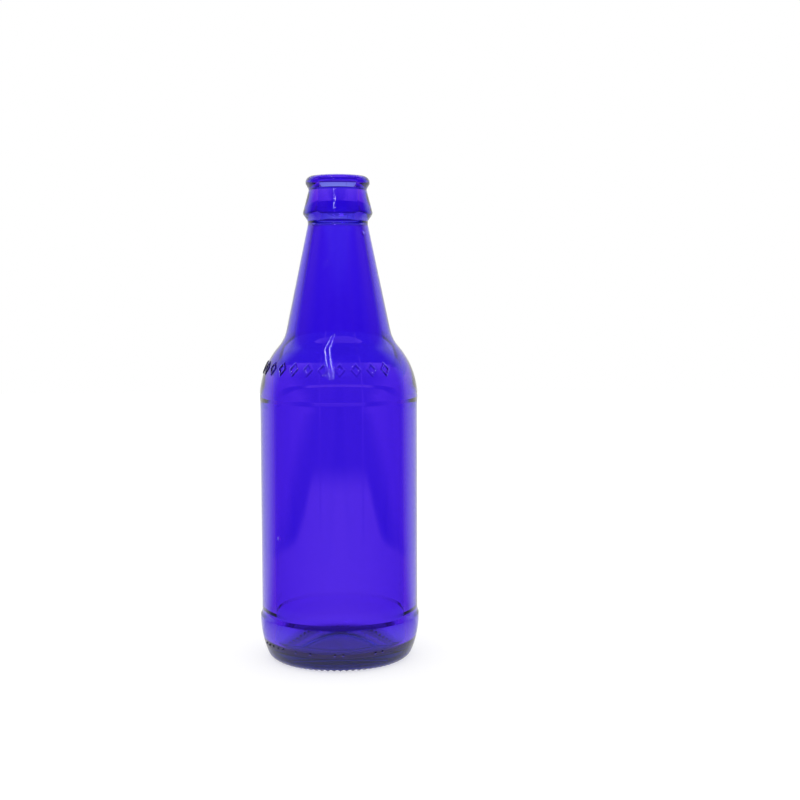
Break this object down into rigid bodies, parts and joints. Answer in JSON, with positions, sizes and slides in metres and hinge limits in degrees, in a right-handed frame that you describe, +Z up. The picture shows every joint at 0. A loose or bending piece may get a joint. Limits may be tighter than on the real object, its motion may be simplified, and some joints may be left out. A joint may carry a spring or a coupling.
{
  "type": "beer bottle",
  "caption": "Empty cobalt-blue glass beer bottle with a crown finish, tapered neck, round shoulder with a raised diamond band, sunk label panel and grooved bearing ring; holds a drink.",
  "frame": {"origin": "centre of the bearing ring on the plane that the bottle stands on", "axes": "+Z up along the bottle's axis of revolution, -Y towards the front, +X to the right"},
  "size_m": [0.067, 0.067, 0.2014],
  "materials": {
    "cobalt_glass": "clear polished cobalt-blue soda-lime glass"
  },
  "bodies": {
    "root": {"bottle": "cobalt_glass"}
  },
  "joints": []
}
